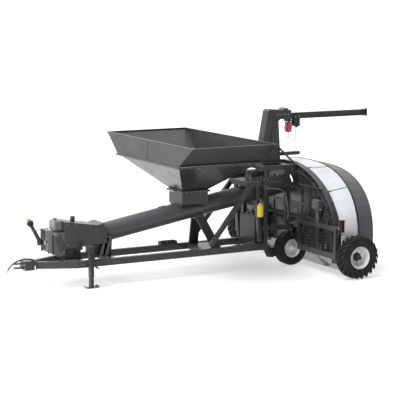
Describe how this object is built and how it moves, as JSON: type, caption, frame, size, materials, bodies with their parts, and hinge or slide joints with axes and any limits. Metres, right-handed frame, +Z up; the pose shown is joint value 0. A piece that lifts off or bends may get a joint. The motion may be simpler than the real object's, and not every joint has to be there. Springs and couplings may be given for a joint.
{
  "type": "grain bagger",
  "caption": "Towed grain bagger with an inclined auger under a wide hopper, an arched bag tunnel on wheels, a hoist mast and a jack on the drawbar.",
  "frame": {"origin": "on the ground, under the middle of the machine's length and width", "axes": "+Z up, +Y to the rear along the machine, +X to its left side; the hitch is at -Y"},
  "size_m": [5.21, 9.2896, 3.645],
  "materials": {
    "charcoal_paint": "charcoal grey paint, satin",
    "black_paint": "black paint, satin",
    "light_grey_paint": "light grey paint, satin",
    "white_panel": "white painted sheet, satin",
    "grey_panel": "dark grey painted sheet, satin",
    "bare_steel": "worn bare steel",
    "galvanised_steel": "galvanised, spangled",
    "rubber": "black rubber, matte",
    "red_paint": "red paint, gloss",
    "yellow_paint": "yellow paint, gloss",
    "amber_lens": "amber plastic, gloss"
  },
  "bodies": {
    "chassis": {"drawbar_rail_left": "charcoal_paint", "drawbar_rail_right": "charcoal_paint", "drawbar_nose": "charcoal_paint", "jack_tube": "charcoal_paint", "drive_pedestal": "charcoal_paint", "auger_bracket": "charcoal_paint", "auger_cradle": "charcoal_paint", "auger_tube": "charcoal_paint", "drive_housing": "charcoal_paint", "drive_guard": "charcoal_paint", "hopper_chute": "charcoal_paint", "hopper_funnel": "charcoal_paint", "hopper_panel_front": "charcoal_paint", "hopper_panel_rear": "charcoal_paint", "hopper_panel_left": "charcoal_paint", "hopper_panel_right": "charcoal_paint", "hopper_rim": "charcoal_paint", "hopper_support": "charcoal_paint", "side_frame_left": "charcoal_paint", "side_frame_right": "charcoal_paint", "mast_crossbeam": "charcoal_paint", "tank_crossbeam": "charcoal_paint", "tunnel_frame": "charcoal_paint", "tunnel_ring": "charcoal_paint", "tunnel_rib": "charcoal_paint", "mast": "charcoal_paint", "hydraulic_tank": "charcoal_paint", "front_shield": "light_grey_paint", "hydraulic_pump": "light_grey_paint", "tunnel_band": "white_panel", "gearbox": "grey_panel", "tunnel_front_wall": "grey_panel", "tunnel_skirt": "grey_panel", "control_valve": "grey_panel", "hose_coupler": "bare_steel", "hydraulic_hose": "rubber", "filter_canister": "yellow_paint", "marker_light_left": "amber_lens", "marker_light_right": "amber_lens"},
    "jack_leg": {"jack_leg": "charcoal_paint"},
    "jack_crank": {"jack_crank": "black_paint"},
    "auger_screw": {"auger_screw": "bare_steel"},
    "input_shaft": {"input_shaft": "bare_steel"},
    "pto_outer": {"pto_outer": "black_paint"},
    "pto_inner": {"pto_inner": "black_paint"},
    "hopper_gate": {"hopper_gate": "galvanised_steel"},
    "bag_pan": {"bag_pan": "galvanised_steel"},
    "boom": {"hoist_boom": "charcoal_paint"},
    "trolley": {"hoist_trolley": "black_paint", "chain_hoist": "red_paint", "hand_chain": "bare_steel"},
    "hook": {"hoist_hook": "bare_steel"},
    "wheel_left": {"wheel_left_tyre": "rubber", "wheel_left_rim": "white_panel"},
    "wheel_right": {"wheel_right_tyre": "rubber", "wheel_right_rim": "white_panel"},
    "gauge_arm": {"gauge_arm": "charcoal_paint"},
    "gauge_wheel": {"gauge_wheel_tyre": "rubber", "gauge_wheel_rim": "white_panel"},
    "valve_lever": {"valve_lever": "black_paint"}
  },
  "joints": [
    {"name": "jack_leg_slide", "type": "slide", "parent": "chassis", "child": "jack_leg", "axis": [0, 0, 1], "range_m": [-0.2, 0.2]},
    {"name": "jack_crank_turn", "type": "hinge", "parent": "chassis", "child": "jack_crank", "pos_m": [0.6506, -2.97, 0.8], "axis": [1, 0, 0], "range_deg": [-3600, 3600]},
    {"name": "auger_spin", "type": "hinge", "parent": "chassis", "child": "auger_screw", "pos_m": [0, -2.475, 1.07671], "axis": [0, 0.9861, 0.1663], "continuous": true},
    {"name": "input_spin", "type": "hinge", "parent": "chassis", "child": "input_shaft", "pos_m": [0, -3.5, 0.97], "axis": [0, 1, 0], "continuous": true},
    {"name": "pto_swing", "type": "hinge", "parent": "chassis", "child": "pto_outer", "pos_m": [0, -3.9, 0.97], "axis": [1, 0, 0], "range_deg": [0, 75]},
    {"name": "pto_telescope", "type": "slide", "parent": "pto_outer", "child": "pto_inner", "axis": [0, -0.4626, 0.8866], "range_m": [0, 0.15]},
    {"name": "gate_slide", "type": "slide", "parent": "chassis", "child": "hopper_gate", "axis": [0, -1, 0], "range_m": [0, 0.6]},
    {"name": "bag_pan_tilt", "type": "hinge", "parent": "chassis", "child": "bag_pan", "pos_m": [0, 2.36, 0.36], "axis": [1, 0, 0], "range_deg": [0, 12]},
    {"name": "boom_swing", "type": "hinge", "parent": "chassis", "child": "boom", "pos_m": [0, 2.36, 3.45], "axis": [0, 0, 1], "range_deg": [-75, 75]},
    {"name": "trolley_slide", "type": "slide", "parent": "boom", "child": "trolley", "axis": [0, 1, 0], "range_m": [0, 1.85]},
    {"name": "hook_swivel", "type": "hinge", "parent": "trolley", "child": "hook", "pos_m": [0, 2.335, 3.05], "axis": [0, 0, 1], "continuous": true},
    {"name": "wheel_left_spin", "type": "hinge", "parent": "chassis", "child": "wheel_left", "pos_m": [2.45, 2.64, 0.4825], "axis": [1, 0, 0], "continuous": true},
    {"name": "wheel_right_spin", "type": "hinge", "parent": "chassis", "child": "wheel_right", "pos_m": [-2.45, 2.64, 0.4825], "axis": [1, 0, 0], "continuous": true},
    {"name": "gauge_arm_lift", "type": "hinge", "parent": "chassis", "child": "gauge_arm", "pos_m": [0.2075, 1.585, 0.49], "axis": [1, 0, 0], "range_deg": [-10, 4]},
    {"name": "gauge_wheel_spin", "type": "hinge", "parent": "gauge_arm", "child": "gauge_wheel", "pos_m": [0.36, 2.2, 0.395], "axis": [1, 0, 0], "continuous": true},
    {"name": "valve_lever_tilt", "type": "hinge", "parent": "chassis", "child": "valve_lever", "pos_m": [1.47, 2.2, 1.662], "axis": [1, 0, 0], "range_deg": [-15, 15]}
  ],
  "couplings": [
    {"joint": "jack_crank_turn", "follows": "jack_leg_slide", "rad_per_m": 314.16},
    {"joint": "input_spin", "follows": "auger_spin", "ratio": 1.5}
  ]
}
